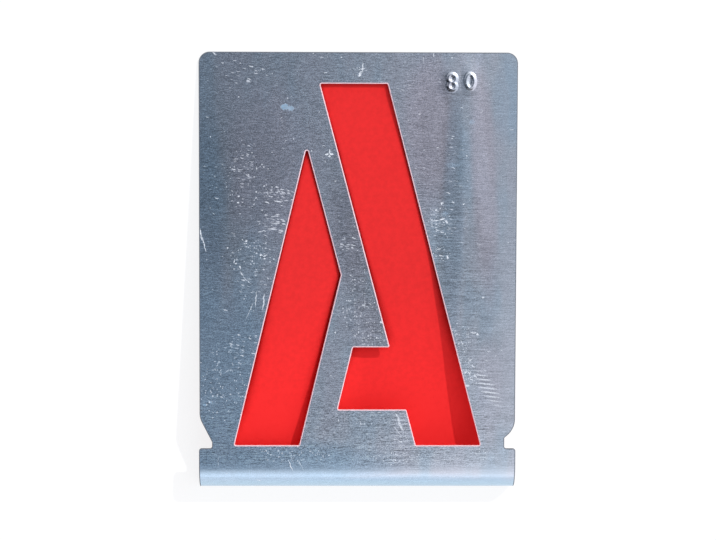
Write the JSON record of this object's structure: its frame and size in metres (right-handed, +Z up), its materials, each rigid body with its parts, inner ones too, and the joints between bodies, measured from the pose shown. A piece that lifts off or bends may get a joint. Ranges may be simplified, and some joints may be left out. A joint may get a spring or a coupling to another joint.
{
  "type": "lettering stencil",
  "caption": "Thin metal plate with one capital letter cut through it for marking, held together by two ties, with its lower edge bent down into a lip.",
  "frame": {"origin": "on the surface that the plate lies on, at the middle of its outline", "axes": "+X across the plate to the reader's right, +Y towards the top of the letter, +Z up, out of the face that is read"},
  "size_m": [0.0702, 0.0972, 0.0071],
  "materials": {
    "sheet_metal": "bare rolled aluminium sheet with a fine level grain, scuffed by use"
  },
  "bodies": {
    "root": {"stencil_plate": "sheet_metal"}
  },
  "joints": []
}
